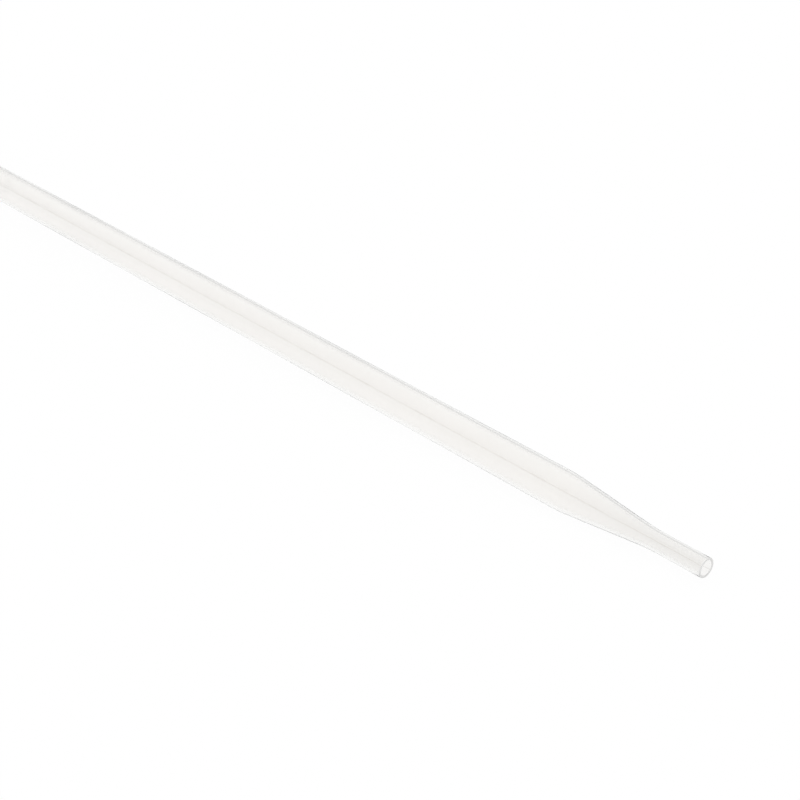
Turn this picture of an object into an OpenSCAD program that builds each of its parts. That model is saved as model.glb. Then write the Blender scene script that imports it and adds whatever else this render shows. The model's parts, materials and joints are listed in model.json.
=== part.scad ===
// Dropper pipette, blow moulded in one piece: a drawn-down tip, a long plain stem and a closed squeeze bulb.
// It is drawn standing on its tip, and then laid down on the bench the way it comes to rest.

/* [Tip] */
// Outside diameter of the drawn-down tip
tip_d = 3.0; // [2.4:0.1:4]
// Wall of the tip
tip_wall = 0.35; // [0.25:0.05:0.5]
// Length of the straight tip, from its cut end to the taper
tip_len = 9.5; // [6:0.5:20]
// Length of the taper between the tip and the stem
taper_len = 15.5; // [12:0.5:30]
// Radius that eases the taper into the tip and into the stem
ease_r = 30; // [8:1:40]

/* [Stem] */
// Outside diameter of the stem
stem_d = 6.0; // [5:0.1:7.5]
// Wall of the stem
stem_wall = 0.5; // [0.35:0.05:0.8]
// Length of the stem, from the taper to the bulb's shoulder
stem_len = 155; // [100:1:220]

/* [Bulb] */
// Outside diameter of the squeeze bulb
bulb_d = 13.5; // [11:0.5:18]
// Wall of the bulb
bulb_wall = 0.45; // [0.3:0.05:0.7]
// Length of the bulb, from the foot of its shoulder to its crown
bulb_len = 50; // [35:1:70]
// Slope of the shoulder, measured from the pipette's axis
shoulder_slope = 30; // [20:1:45]
// Radius of the hollow where the stem runs into the shoulder
neck_r = 6; // [2:0.5:8]
// Radius of the round edge between the shoulder and the bulb's side
shoulder_r = 6; // [2:0.5:8]
// Radius of the round edge between the bulb's side and its crown
crown_r = 5.5; // [3:0.5:5.5]

/* [Parting line] */
// Width of the raised line that the mould's two halves leave
line_w = 0.25; // [0.15:0.05:0.5]
// Height of that line above the surface
line_h = 0.05; // [0.03:0.01:0.15]
// Angle between the line's plane and the bench, once the pipette lies on it
line_turn = 37.5; // [10:2.5:60]
// Length of the weld across the crown, where the mould pinches the bulb shut
weld_len = 8; // [4:0.5:10]
// Width of the weld
weld_w = 0.8; // [0.4:0.1:1.5]
// Height of the weld above the crown
weld_h = 0.35; // [0.2:0.05:0.8]

/* [Hidden] */
$fn = 120;

tip_r = tip_d / 2;
stem_r = stem_d / 2;
bulb_r = bulb_d / 2;
stem_foot = tip_len + taper_len;
bulb_foot = stem_foot + stem_len;
crown = bulb_foot + bulb_len;
shoulder_rise = (bulb_r - stem_r) / tan(shoulder_slope);
past_end = 1;       // how far the bore's cutter stands out of the cut end
arc_step = 6;       // degrees between the points of a round
least_steps = 3;    // steps in the shallowest round

// An outline is a list of corners, each [radius, height, radius of its round, wall], from the cut end to the crown.
TAPER_FOOT = 1;
TAPER_TOP = 2;
NECK = 3;
SHOULDER = 4;
CROWN_EDGE = 5;
AXIS = 6;
OUTSIDE = [
    [tip_r, 0, 0, tip_wall],
    [tip_r, tip_len, ease_r, tip_wall],
    [stem_r, stem_foot, ease_r, stem_wall],
    [stem_r, bulb_foot, neck_r, stem_wall],
    [bulb_r, bulb_foot + shoulder_rise, shoulder_r, bulb_wall],
    [bulb_r, crown, crown_r, bulb_wall],
    [0, crown, 0, bulb_wall],
];

// A direction in an outline is its angle from +Z, out from the axis.
function along(angle) = [sin(angle), cos(angle)];
function inward(angle) = [-cos(angle), sin(angle)];
function place(o, i) = [o[i][0], o[i][1]];
function angle_of(way) = atan2(way[0], way[1]);
function angle_in(o, i) = angle_of(place(o, max(i, 1)) - place(o, max(i - 1, 0)));
function angle_out(o, i) = angle_of(place(o, min(i + 1, AXIS)) - place(o, min(i, AXIS - 1)));
function turn(o, i) = angle_out(o, i) - angle_in(o, i);

// The round at corner i touches the straight runs on both sides of it. Its centre is on the axis's side if it bulges.
function round_start(o, i) = place(o, i) - o[i][2] * tan(abs(turn(o, i)) / 2) * along(angle_in(o, i));
function round_centre(o, i) = round_start(o, i) - sign(turn(o, i)) * o[i][2] * inward(angle_in(o, i));
function round_steps(o, i) = max(least_steps, ceil(abs(turn(o, i)) / arc_step));
function round_points(o, i) =
    let (n = round_steps(o, i), side = sign(turn(o, i)) * o[i][2])
    [for (k = [0:n]) round_centre(o, i) + side * inward(angle_in(o, i) + turn(o, i) * k / n)];

function points(o) = [for (i = [0:AXIS]) each (o[i][2] > 0 ? round_points(o, i) : [place(o, i)])];

// Corner i with the runs beside it moved towards the axis by depth, and its round kept concentric
function moved_in(o, i, depth) =
    let (p = place(o, i) + depth / cos(turn(o, i) / 2) * inward((angle_in(o, i) + angle_out(o, i)) / 2))
    [max(p[0], 0), p[1], max(o[i][2] + sign(turn(o, i)) * depth, 0), o[i][3]];

function raised(height) = [for (i = [0:AXIS]) moved_in(OUTSIDE, i, -height)];
INSIDE = [
    [tip_r - tip_wall, -past_end, 0, tip_wall],
    each [for (i = [TAPER_FOOT:AXIS]) moved_in(OUTSIDE, i, OUTSIDE[i][3])],
];

// The solid that an outline sweeps about the axis
module turned(o) {
    rotate_extrude() polygon([[0, o[0][1]], each points(o)]);
}

// A flat plate through the axis, which stands out of the outside by height all round
module parting_plate(height, width) {
    half = points(raised(height));
    other_half = [for (i = [len(half) - 2:-1:0]) [-half[i][0], half[i][1]]];
    rotate([90, 0, 0])
        linear_extrude(width, center = true) polygon([each half, each other_half]);
}

module parting_line() {
    parting_plate(line_h, line_w);
}

module pinch_weld() {
    intersection() {
        parting_plate(weld_h, weld_w);
        translate([-weld_len / 2, -weld_w, crown - crown_r]) cube([weld_len, 2 * weld_w, 2 * crown_r]);
    }
}

module standing_pipette() {
    difference() {
        union() {
            turned(OUTSIDE);
            rotate([0, 0, line_turn - 90]) {
                parting_line();
                pinch_weld();
            }
        }
        turned(INSIDE);
    }
}

// At rest it lies on the round of its shoulder and on the top of its taper, or on its cut end if that hangs lower.
shoulder_c = round_centre(OUTSIDE, SHOULDER);
from_taper = shoulder_c - round_centre(OUTSIDE, TAPER_TOP);
from_end = shoulder_c - [tip_r, 0];
lean_on_taper = angle_of(from_taper) + asin((shoulder_r - ease_r) / norm(from_taper));
lean_on_end = angle_of(from_end) + asin(shoulder_r / norm(from_end));
lean = min(lean_on_taper, lean_on_end);
axis_above_bench = shoulder_r + shoulder_c[0] * cos(lean) - shoulder_c[1] * sin(lean);

crown_c = round_centre(OUTSIDE, CROWN_EDGE);
reach_of_bulb = crown_c[1] * cos(lean) + crown_c[0] * sin(lean) + crown_r + weld_h;
reach_of_tip = tip_r * sin(lean);

// The origin is on the bench, under the middle of the whole length, and the tip points to +X.
module pipette() {
    color("whitesmoke")
        translate([(reach_of_bulb - reach_of_tip) / 2, 0, axis_above_bench])
            rotate([0, lean - 90, 0])
                standing_pipette();
}

pipette();
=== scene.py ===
"""A blow-moulded polyethylene dropper pipette, lying on a white bench.

The pipette is one skin of plastic, turned here from one closed outline: down the outside from the crown of
the bulb to the cut tip, and back up the inside. The parting line and the pinch weld are raised on it as it
is turned.
"""
import json
import math

import bpy
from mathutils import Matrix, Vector


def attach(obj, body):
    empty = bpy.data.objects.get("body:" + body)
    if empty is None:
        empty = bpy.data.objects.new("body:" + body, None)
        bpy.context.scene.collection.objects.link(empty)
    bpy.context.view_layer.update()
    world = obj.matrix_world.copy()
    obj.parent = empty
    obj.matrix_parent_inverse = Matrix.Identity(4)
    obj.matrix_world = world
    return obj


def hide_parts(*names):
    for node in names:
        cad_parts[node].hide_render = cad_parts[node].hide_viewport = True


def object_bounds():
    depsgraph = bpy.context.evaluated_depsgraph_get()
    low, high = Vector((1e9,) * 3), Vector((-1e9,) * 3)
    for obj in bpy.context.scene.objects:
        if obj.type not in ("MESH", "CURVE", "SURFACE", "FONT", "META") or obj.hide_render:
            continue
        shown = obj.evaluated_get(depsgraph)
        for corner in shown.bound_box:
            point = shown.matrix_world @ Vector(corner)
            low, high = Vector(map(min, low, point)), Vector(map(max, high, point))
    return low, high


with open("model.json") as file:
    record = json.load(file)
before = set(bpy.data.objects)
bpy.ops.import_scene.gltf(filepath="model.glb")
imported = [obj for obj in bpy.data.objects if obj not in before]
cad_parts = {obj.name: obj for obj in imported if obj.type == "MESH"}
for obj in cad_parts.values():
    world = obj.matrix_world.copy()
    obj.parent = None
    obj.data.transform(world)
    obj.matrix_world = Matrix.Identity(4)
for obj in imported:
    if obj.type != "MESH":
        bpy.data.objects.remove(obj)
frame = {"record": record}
cad_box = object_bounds()

MM = 0.001
MOUNTS = {m["name"]: m for m in frame["record"]["mounts"]}


def mount_size(name, key):
    return MOUNTS[name]["dims"][key] * MM


# The mounts give the tip and the stem, and the frame's box gives the bulb.
TIP_R = mount_size("tip_outside", "r_mm")
BORE_R = mount_size("tip_bore", "r_mm")
STEM_R = mount_size("stem_outside", "r_mm")
BULB_R = (cad_box[1].y - cad_box[0].y) / 2
TIP_WALL = TIP_R - BORE_R
STEM_WALL = 0.5 * MM
BULB_WALL = 0.45 * MM

# Heights along the axis, from the cut end
TAPER_FOOT = 9.5 * MM
TAPER_TOP = 25 * MM
BULB_FOOT = 180 * MM
CROWN = 230 * MM
SHOULDER_SLOPE = math.radians(30)
SHOULDER_TOP = BULB_FOOT + (BULB_R - STEM_R) / math.tan(SHOULDER_SLOPE)

# Rounds of the outline's corners
EASE_R = 30 * MM
NECK_R = 6 * MM
SHOULDER_R = 6 * MM
CROWN_R = 5.5 * MM
CUT_EDGE_R = 0.1 * MM       # the rim of the cut end, which the knife leaves frosted

# The parting line and the pinch weld
LINE_W = 0.25 * MM
LINE_H = 0.05 * MM
LINE_EASE = 0.1 * MM        # half the width of the line's flanks
LINE_TURN = math.radians(37.5)      # the mould's parting plane, from level
WELD_LEN = 8 * MM
WELD_W = 0.8 * MM
WELD_H = 0.35 * MM
WELD_EASE = 0.12 * MM       # half the width of the weld's flanks
WELD_FADE = 3 * WELD_EASE   # the length over which the weld runs out at its ends

# The wall is a little uneven, as blown plastic is.
WALL_SWING = 0.06           # share of the stem's wall, twice round
WALL_DRIFT = 0.05           # the same, along the pipette
DRIFT_LENGTH = 37 * MM

# The mesh
ARC_STEP = math.radians(5)
LEAST_ARC_STEPS = 4
RING_STEP = 2 * MM          # the longest straight stretch between two rings
CROWN_STEP = 0.2 * MM       # the same across the crown
SIDE_STEPS = 44             # steps round each half, between the parting lines
# Steps out from the line, closest on its flank and on the weld's
LINE_STEPS = [d * MM for d in (0, 0.065, 0.095, 0.125, 0.155, 0.185, 0.28, 0.34, 0.4, 0.46, 0.52, 0.6)]
LINE_SHARE = math.radians(54)       # the most that those steps take on a small ring

# Where it lies
TOWARDS_TIP = Vector(MOUNTS["tip_outside"]["axis"]).normalized()
TIP_END = Vector(MOUNTS["tip_outside"]["pos_m"]) + TOWARDS_TIP * mount_size("tip_outside", "length_mm") / 2
ACROSS = Vector((0, 1, 0))
ABOVE = TOWARDS_TIP.cross(ACROSS)
IN_PARTING_PLANE = ABOVE * math.sin(LINE_TURN) - ACROSS * math.cos(LINE_TURN)
OUT_OF_PARTING_PLANE = TOWARDS_TIP.cross(IN_PARTING_PLANE)

# The moulded plastic: its colours, each with its alpha, the marks in it, and its painted shade and sheen
REFRACTION = 1.51
MILKY = (0.962, 0.951, 0.934, 1)
CLOUDY = (0.952, 0.941, 0.923, 1)
DRAWN_TINT = (0.925, 0.918, 0.904, 1)       # where the tip is drawn down
SEAM_PAINTED_SHADE = (0.82, 0.8, 0.77, 1)            # painted shade along the crest of the parting line, where its ridge shows dark
WHITE = (1, 1, 1, 1)
CLOUD_SIZE = 6 * MM
CLOUD_SQUEEZE = (0.5, 1, 1)
STREAK_SIZE = 0.8 * MM
STREAK_SQUEEZE = (0.02, 1, 1)       # drawn out along the pipette
STREAK_DEPTH = 0.003 * MM
GRAIN_SIZE = 0.25 * MM
GRAIN_DEPTH = 0.001 * MM
EVEN = (1, 1, 1)
SLEEKEST = 0.1              # roughness, from the smoothest streak to the dullest
DULLEST = 0.14
SEAM_W = 0.14 * MM          # the width of that crest
SEAM_SHADE_STRETCH = 3 * MM          # the length over which it comes and goes
SEAM_SHADE_LEAST = 0.3            # how much of the painted shade is left where it is faintest
PAINTED_SHEEN_SLANT = 0.4            # how soon the colour is painted white where the plastic is seen at a slant: a painted sheen for the white room mirrored at its edges
SLEEK_SLANT = 0.7           # how soon its satin turns sleek there

# The frosted plastic of the cut end and of the weld
CUT_CLEARNESS = 0.1         # share of the light that passes where the knife cut
WELD_CLEARNESS = 0.45       # and where the mould pinched the bulb shut
FROST_PALE = (0.97, 0.965, 0.955, 1)
FROST_DULL = (0.9, 0.895, 0.885, 1)
FROST_FINEST = 0.35         # roughness, between the drag marks and in them
FROST_COARSEST = 0.55
MARK_SIZE = 0.12 * MM
MARK_SQUEEZE = (1, 1, 0.15)     # drawn out upwards
MARK_DEPTH = 0.005 * MM

# Noise: how strong its finer detail is, and the range that it fills
NOISE_ROUGHNESS = 0.55
NOISE_LOW = 0.3
NOISE_HIGH = 0.7

# The skin's finishes, in the order of its materials
MOULDED, CUT, WELDED = range(3)

# The camera looks down past the open tip, along the pipette.
AZIMUTH = math.radians(47.11)
ELEVATION = math.radians(28.52)
AIM = Vector((50.1, 5.0, 0)) * MM
DISTANCE = 284.4 * MM
LENS = 81.0
NEAREST = 10 * MM           # what is closer than this isn't drawn

# Light: what an upward face gets from all round and from the soft lamp adds up to 1.
ROOM_LEVEL = 0.82
LAMP_LEVEL = 0.18
LAMP_SPREAD = math.radians(80)
LAMP_WAY = Vector((-0.3, -0.35, 1)).normalized()
WALL_LEVEL = 0.8            # the walls as the plastic sees them, where the bench and the ceiling are 1
WALL_FOOT = 0               # degrees above level at which the walls begin, and so on up
WALL_HEAD = 22
CEILING_RIM = 38
FLOOR_SIZE = 12.0
FLOOR_GREY = (0.8, 0.8, 0.8, 1)     # the bench's own colour, by which it lights what lies on it
FLOOR_SHADE = 0.02          # how much of the real shadow the white bench shows


# ---------------------------------------------------------------- outline

def along(angle):
    return Vector((math.sin(angle), math.cos(angle)))


def aside(angle):
    """Square to a direction, on its left: towards the axis for an outline that climbs."""
    return Vector((-math.cos(angle), math.sin(angle)))


def angle_of(way):
    return math.atan2(way.x, way.y)


def turn_at(corners, i):
    """The outline's direction before corner i, and how far it turns there."""
    before = angle_of(corners[i][0] - corners[i - 1][0])
    turn = angle_of(corners[i + 1][0] - corners[i][0]) - before
    return before, (turn + math.pi) % (2 * math.pi) - math.pi


def round_at(corners, i):
    """The points of the arc that rounds off corner i."""
    place, radius = corners[i]
    before, turn = turn_at(corners, i)
    side = math.copysign(radius, turn)
    start = place - along(before) * radius * math.tan(abs(turn) / 2)
    centre = start - aside(before) * side
    steps = max(LEAST_ARC_STEPS, math.ceil(abs(turn) / ARC_STEP))
    return [centre + aside(before + turn * k / steps) * side for k in range(steps + 1)]


def rounded(corners):
    points = [corners[0][0]]
    for i in range(1, len(corners) - 1):
        points += round_at(corners, i)
    return [*points, corners[-1][0]]


def moved_in(corners, i, depth):
    """Corner i with the runs beside it moved in by depth, and its round kept concentric."""
    place, radius = corners[i]
    before, turn = turn_at(corners, i)
    place = place + aside(before + turn / 2) * depth / math.cos(turn / 2)
    return place, radius + math.copysign(depth, turn)


def outside_corners():
    """Corners up the outside, each a place (radius, height) and the radius of its round."""
    return [
        (Vector((TIP_R, 0)), CUT_EDGE_R),
        (Vector((TIP_R, TAPER_FOOT)), EASE_R),
        (Vector((STEM_R, TAPER_TOP)), EASE_R),
        (Vector((STEM_R, BULB_FOOT)), NECK_R),
        (Vector((BULB_R, SHOULDER_TOP)), SHOULDER_R),
        (Vector((BULB_R, CROWN)), CROWN_R),
        (Vector((0, CROWN)), 0),
    ]


def inside_corners():
    walls = (TIP_WALL, STEM_WALL, STEM_WALL, BULB_WALL, BULB_WALL)
    outside = outside_corners()
    between = [moved_in(outside, i + 1, wall) for i, wall in enumerate(walls)]
    return [(Vector((BORE_R, 0)), CUT_EDGE_R), *between, (Vector((0, CROWN - BULB_WALL)), 0)]


def evenly(points):
    """The same points with long straight runs cut into steps, which are short on the crown."""
    filled = [points[0]]
    for a, b in zip(points, points[1:]):
        step = CROWN_STEP if min(a.y, b.y) > CROWN - CROWN_R else RING_STEP
        cuts = max(1, math.ceil((b - a).length / step))
        filled += [a.lerp(b, k / cuts) for k in range(1, cuts + 1)]
    return filled


# ---------------------------------------------------------------- the pipette's mesh

def eased(x, low, high):
    """1 below low, 0 above high, and a smooth fall between."""
    t = min(max((x - low) / (high - low), 0), 1)
    return 1 - t * t * (3 - 2 * t)


def raised(radius, height, turn):
    """How far the parting line or the weld lifts the outside there. The line ends at the cut end's rim."""
    off_plane = abs(radius * math.sin(turn))
    in_plane = abs(radius * math.cos(turn))
    uncut = 1 - eased(height, 0, 2 * CUT_EDGE_R)
    line = uncut * LINE_H * eased(off_plane, LINE_W / 2 - LINE_EASE, LINE_W / 2 + LINE_EASE)
    if height < CROWN - CROWN_R:
        return line
    weld = WELD_H * eased(off_plane, WELD_W / 2 - WELD_EASE, WELD_W / 2 + WELD_EASE)
    return max(line, weld * eased(in_plane, WELD_LEN / 2 - WELD_FADE, WELD_LEN / 2))


def thinned(height, turn):
    """How far the inside moves there, as a share of the stem's wall. The straight tip's bore stays true."""
    start = eased(height, TAPER_FOOT, TAPER_TOP)
    drift = WALL_DRIFT * math.sin(2 * math.pi * height / DRIFT_LENGTH)
    return (1 - start) * (drift + WALL_SWING * math.cos(2 * turn))


def turns_of(radius):
    """The angles of one ring's points, close together at the parting line on both sides."""
    reach = LINE_STEPS[-1]
    spread = min(math.asin(min(reach / radius, 1)), LINE_SHARE)
    near = [spread * d / reach for d in LINE_STEPS]
    sides = [spread + (math.pi - 2 * spread) * k / SIDE_STEPS for k in range(1, SIDE_STEPS)]
    half = [*near, *sides, *(math.pi - t for t in reversed(near[1:]))]
    return [*half, *(math.pi + t for t in half)]


def ring(place, out, outer):
    """One ring of vertices about the axis, where out is the outline's normal away from the plastic."""
    points = []
    for turn in turns_of(place.x):
        lift = raised(place.x, place.y, turn) if outer else STEM_WALL * thinned(place.y, turn)
        spot = place + out * lift
        radial = IN_PARTING_PLANE * math.cos(turn) + OUT_OF_PARTING_PLANE * math.sin(turn)
        points.append(TIP_END - TOWARDS_TIP * spot.y + radial * spot.x)
    return points


def pole(place, lift):
    return [TIP_END - TOWARDS_TIP * (place.y + lift)]


def skin(name, rings):
    """A closed mesh over rings, the first and the last of which are single points."""
    vertices = [v for points in rings for v in points]
    starts = [0]
    for points in rings:
        starts.append(starts[-1] + len(points))
    faces = []
    for i in range(len(rings) - 1):
        a, b = starts[i], starts[i + 1]
        count = max(len(rings[i]), len(rings[i + 1]))
        for j in range(count):
            k = (j + 1) % count
            if len(rings[i]) == 1:
                faces.append((a, b + k, b + j))
            elif len(rings[i + 1]) == 1:
                faces.append((a + j, a + k, b))
            else:
                faces.append((a + j, a + k, b + k, b + j))
    mesh = bpy.data.meshes.new(name)
    mesh.from_pydata(vertices, [], faces)
    mesh.polygons.foreach_set("use_smooth", [True] * len(faces))
    mesh.update()
    piece = bpy.data.objects.new(name, mesh)
    bpy.context.collection.objects.link(piece)
    return piece


def pipette_skin():
    corners = [*reversed(outside_corners()), *inside_corners()]
    points = evenly(rounded(corners))
    low = min(range(len(points)), key=lambda i: (points[i].y, -points[i].x))
    rings = [pole(points[0], WELD_H)]
    for i in range(1, len(points) - 1):
        out = aside(angle_of(points[i + 1] - points[i - 1]))
        rings.append(ring(points[i], out, i <= low))
    rings.append(pole(points[-1], 0))
    return skin("pipette_skin", rings)


# ---------------------------------------------------------------- materials

def new_material(name):
    material = bpy.data.materials.new(name)
    material.use_nodes = True
    material.node_tree.nodes.clear()
    return material


def add(tree, kind, **values):
    """A new node, with its inputs set by name, where _ stands for a space."""
    node = tree.nodes.new("ShaderNode" + kind)
    for name, value in values.items():
        node.inputs[name.replace("_", " ")].default_value = value
    return node


def noise(tree, place, scale, size, detail):
    """Noise over the object's own coordinates. scale squeezes each axis, and size is that of one blotch."""
    mapping = add(tree, "Mapping", Scale=scale)
    texture = add(tree, "TexNoise", Scale=1 / size, Detail=detail, Roughness=NOISE_ROUGHNESS)
    tree.links.new(place, mapping.inputs["Vector"])
    tree.links.new(mapping.outputs["Vector"], texture.inputs["Vector"])
    return texture.outputs["Fac"]


def spread(tree, value, low, high):
    """Noise, which stays near its middle, spread to run from low to high."""
    scaled = add(tree, "MapRange", From_Min=NOISE_LOW, From_Max=NOISE_HIGH, To_Min=low, To_Max=high)
    tree.links.new(value, scaled.inputs["Value"])
    return scaled.outputs["Result"]


def blend_colours(tree, share, first, second):
    """From the first colour to the second. The first may be the outcome of another blend."""
    mix = tree.nodes.new("ShaderNodeMix")
    mix.data_type = "RGBA"
    if isinstance(first, tuple):
        mix.inputs["A"].default_value = first
    else:
        tree.links.new(first, mix.inputs["A"])
    mix.inputs["B"].default_value = second
    tree.links.new(share, mix.inputs["Factor"])
    return mix.outputs["Result"]


def calculated(tree, operation, first, second):
    """A Math node over two numbers, each of them either fixed or linked."""
    node = tree.nodes.new("ShaderNodeMath")
    node.operation = operation
    for socket, value in zip(node.inputs, (first, second)):
        if isinstance(value, (int, float)):
            socket.default_value = value
        else:
            tree.links.new(value, socket)
    return node.outputs[0]


def measured(tree, place, way):
    """How far a place lies from the middle of the cut end, measured along one way."""
    dot = tree.nodes.new("ShaderNodeVectorMath")
    dot.operation = "DOT_PRODUCT"
    tree.links.new(place, dot.inputs[0])
    dot.inputs[1].default_value = way
    return calculated(tree, "SUBTRACT", dot.outputs["Value"], TIP_END.dot(way))


def painted_seam_shade(tree, place):
    """How much painted shade lies on the parting line's crest, where its ridge shows dark. It comes and
    goes along the line.
    """
    off_plane = calculated(tree, "ABSOLUTE", measured(tree, place, OUT_OF_PARTING_PLANE), 0)
    crest = add(tree, "MapRange", From_Min=SEAM_W / 4, From_Max=SEAM_W / 2, To_Min=1, To_Max=0)
    tree.links.new(off_plane, crest.inputs["Value"])
    patchy = spread(tree, noise(tree, place, EVEN, SEAM_SHADE_STRETCH, detail=2), SEAM_SHADE_LEAST, 1)
    return calculated(tree, "MULTIPLY", crest.outputs["Result"], patchy)


def drawn_down(tree, place):
    """1 in the drawn-down tip, and less and less up the taper."""
    share = add(tree, "MapRange", From_Min=TAPER_FOOT, From_Max=TAPER_TOP, To_Min=1, To_Max=0)
    tree.links.new(measured(tree, place, -TOWARDS_TIP), share.inputs["Value"])
    return share.outputs["Result"]


def bumped(tree, height, depth, under=None):
    bump = add(tree, "Bump", Strength=1.0, Distance=depth)
    tree.links.new(height, bump.inputs["Height"])
    if under is not None:
        tree.links.new(under, bump.inputs["Normal"])
    return bump.outputs["Normal"]


def slanted(tree, blend):
    """0 where the surface is seen straight on, rising to 1 where it is seen edge on."""
    return add(tree, "LayerWeight", Blend=blend).outputs["Facing"]


def shown_as(tree, shader, output="OutputMaterial"):
    tree.links.new(shader, tree.nodes.new("ShaderNode" + output).inputs["Surface"])


def polyethylene():
    """Thin milky plastic: flow streaks along the pipette, cloudy blotches and a fine satin grain, with a
    painted shade along the parting line and a painted sheen that whitens it towards its edges.
    """
    material = new_material("polyethylene")
    tree = material.node_tree
    place = tree.nodes.new("ShaderNodeTexCoord").outputs["Object"]
    streaks = noise(tree, place, STREAK_SQUEEZE, STREAK_SIZE, detail=3)
    clouds = noise(tree, place, CLOUD_SQUEEZE, CLOUD_SIZE, detail=2)
    grain = noise(tree, place, EVEN, GRAIN_SIZE, detail=2)
    plastic = add(tree, "BsdfPrincipled", IOR=REFRACTION, Transmission_Weight=1.0)
    colour = blend_colours(tree, spread(tree, clouds, 0, 1), MILKY, CLOUDY)
    colour = blend_colours(tree, drawn_down(tree, place), colour, DRAWN_TINT)
    # painted shade along the parting line's crest
    colour = blend_colours(tree, painted_seam_shade(tree, place), colour, SEAM_PAINTED_SHADE)
    # painted sheen: the colour whitens where the plastic is seen at a slant
    colour = blend_colours(tree, slanted(tree, PAINTED_SHEEN_SLANT), colour, WHITE)
    tree.links.new(colour, plastic.inputs["Base Color"])
    satin = spread(tree, streaks, SLEEKEST, DULLEST)
    facing = calculated(tree, "SUBTRACT", 1, slanted(tree, SLEEK_SLANT))
    tree.links.new(calculated(tree, "MULTIPLY", satin, facing), plastic.inputs["Roughness"])
    normal = bumped(tree, streaks, STREAK_DEPTH, bumped(tree, grain, GRAIN_DEPTH))
    tree.links.new(normal, plastic.inputs["Normal"])
    shown_as(tree, plastic.outputs[0])
    return material


def frosted_polyethylene(name, clearness):
    """The same plastic where it was cut or pinched off, dull with fine drag marks."""
    material = new_material(name)
    tree = material.node_tree
    place = tree.nodes.new("ShaderNodeTexCoord").outputs["Object"]
    marks = noise(tree, place, MARK_SQUEEZE, MARK_SIZE, detail=2)
    frost = add(tree, "BsdfPrincipled", IOR=REFRACTION, Transmission_Weight=clearness)
    colour = blend_colours(tree, spread(tree, marks, 0, 1), FROST_PALE, FROST_DULL)
    tree.links.new(colour, frost.inputs["Base Color"])
    tree.links.new(spread(tree, marks, FROST_FINEST, FROST_COARSEST), frost.inputs["Roughness"])
    tree.links.new(bumped(tree, marks, MARK_DEPTH), frost.inputs["Normal"])
    shown_as(tree, frost.outputs[0])
    return material


def in_plastic(tree):
    """1 for what the camera sees mirrored in the plastic or through it."""
    rays = tree.nodes.new("ShaderNodeLightPath").outputs
    return calculated(tree, "MAXIMUM", rays["Is Glossy Ray"], rays["Is Transmission Ray"])


def direct(tree):
    """1 for what the camera sees straight."""
    return tree.nodes.new("ShaderNodeLightPath").outputs["Is Camera Ray"]


def mixed_shaders(tree, share, first, second):
    mix = tree.nodes.new("ShaderNodeMixShader")
    if isinstance(share, float):
        mix.inputs[0].default_value = share
    else:
        tree.links.new(share, mix.inputs[0])
    tree.links.new(first, mix.inputs[1])
    tree.links.new(second, mix.inputs[2])
    return mix.outputs[0]


def bench_white():
    """A white bench. It is white in the plastic, and to the camera it also shows part of the shadow."""
    material = new_material("bench_white")
    tree = material.node_tree
    matte = add(tree, "BsdfDiffuse", Color=FLOOR_GREY).outputs[0]
    bright = add(tree, "BsdfDiffuse", Color=WHITE).outputs[0]
    white = add(tree, "Emission", Color=WHITE, Strength=1.0).outputs[0]
    straight = mixed_shaders(tree, FLOOR_SHADE, white, bright)
    shown = mixed_shaders(tree, in_plastic(tree), matte, white)
    shown_as(tree, mixed_shaders(tree, direct(tree), shown, straight))
    return material


# ---------------------------------------------------------------- the pipette

def finish_of(face):
    """Whether a face of the skin lies on the cut end or its rim, on the pinch weld, or elsewhere."""
    from_end = face.center - TIP_END
    height = -from_end.dot(TOWARDS_TIP)
    if height < CUT_EDGE_R:
        return CUT
    on_crown = height > CROWN - CROWN_R and face.normal.dot(TOWARDS_TIP) < 0
    across_weld = abs(from_end.dot(OUT_OF_PARTING_PLANE))
    along_weld = abs(from_end.dot(IN_PARTING_PLANE))
    if on_crown and across_weld < WELD_W / 2 + WELD_EASE and along_weld < WELD_LEN / 2:
        return WELDED
    return MOULDED


def pipette():
    piece = pipette_skin()
    piece.data.materials.append(polyethylene())
    piece.data.materials.append(frosted_polyethylene("cut_polyethylene", CUT_CLEARNESS))
    piece.data.materials.append(frosted_polyethylene("weld_polyethylene", WELD_CLEARNESS))
    for face in piece.data.polygons:
        face.material_index = finish_of(face)
    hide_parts("pipette")
    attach(piece, "root")


# ---------------------------------------------------------------- the setting

def bench():
    bpy.ops.mesh.primitive_plane_add(size=FLOOR_SIZE)
    plane = bpy.context.object
    plane.name = "bench"
    plane.data.materials.append(bench_white())


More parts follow.
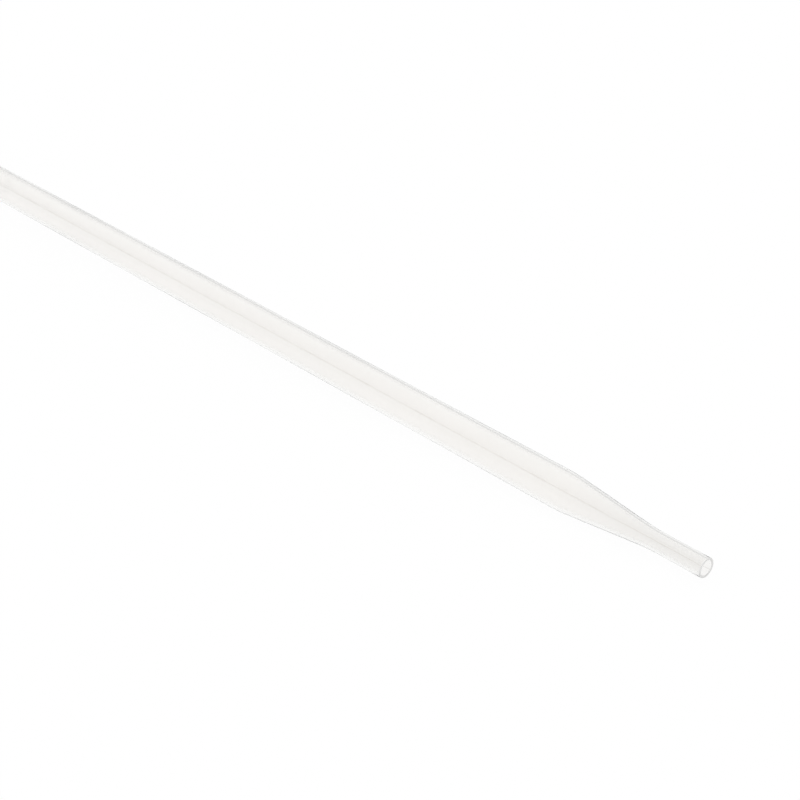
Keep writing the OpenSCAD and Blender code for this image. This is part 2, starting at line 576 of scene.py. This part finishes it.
def room():
    """An even room, white to the camera. The plastic sees grey walls in it, under a white ceiling."""
    world = bpy.data.worlds.new("room")
    bpy.context.scene.world = world
    world.use_nodes = True
    tree = world.node_tree
    tree.nodes.clear()
    even = add(tree, "Background", Color=WHITE, Strength=ROOM_LEVEL).outputs[0]
    white = add(tree, "Background", Color=WHITE, Strength=1.0).outputs[0]
    way = tree.nodes.new("ShaderNodeTexCoord").outputs["Generated"]
    parts = tree.nodes.new("ShaderNodeSeparateXYZ")
    tree.links.new(way, parts.inputs[0])
    wall = tree.nodes.new("ShaderNodeValToRGB")
    tree.links.new(parts.outputs["Z"], wall.inputs["Fac"])
    ground = (WALL_FOOT, 1)     # all that lies below the first stop takes its level
    stops = (ground, (WALL_FOOT, WALL_LEVEL), (WALL_HEAD, WALL_LEVEL), (CEILING_RIM, 1))
    while len(wall.color_ramp.elements) < len(stops):
        wall.color_ramp.elements.new(1)
    for stop, (height, level) in zip(wall.color_ramp.elements, stops):
        stop.position = math.sin(math.radians(height))
        stop.color = (level, level, level, 1)
    walled = add(tree, "Background", Strength=1.0)
    tree.links.new(wall.outputs["Color"], walled.inputs["Color"])
    shown = mixed_shaders(tree, in_plastic(tree), even, walled.outputs[0])
    shown_as(tree, mixed_shaders(tree, direct(tree), shown, white), "OutputWorld")


def lamp():
    """One broad soft lamp, high on the camera's left, that doesn't show in the plastic."""
    data = bpy.data.lights.new("soft_lamp", "SUN")
    data.angle = LAMP_SPREAD
    data.energy = LAMP_LEVEL * math.pi / LAMP_WAY.z
    light = bpy.data.objects.new("soft_lamp", data)
    light.rotation_euler = LAMP_WAY.to_track_quat("Z", "Y").to_euler()
    light.visible_glossy = False
    light.visible_transmission = False
    bpy.context.collection.objects.link(light)


def camera():
    level = math.cos(ELEVATION)
    back = Vector((math.sin(AZIMUTH) * level, -math.cos(AZIMUTH) * level, math.sin(ELEVATION)))
    data = bpy.data.cameras.new("camera")
    data.lens = LENS
    data.clip_start = NEAREST
    view = bpy.data.objects.new("camera", data)
    view.location = AIM + back * DISTANCE
    view.rotation_euler = back.to_track_quat("Z", "Y").to_euler()
    bpy.context.collection.objects.link(view)
    bpy.context.scene.camera = view


bpy.context.scene.view_settings.view_transform = "Standard"
pipette()
bench()
room()
lamp()
camera()
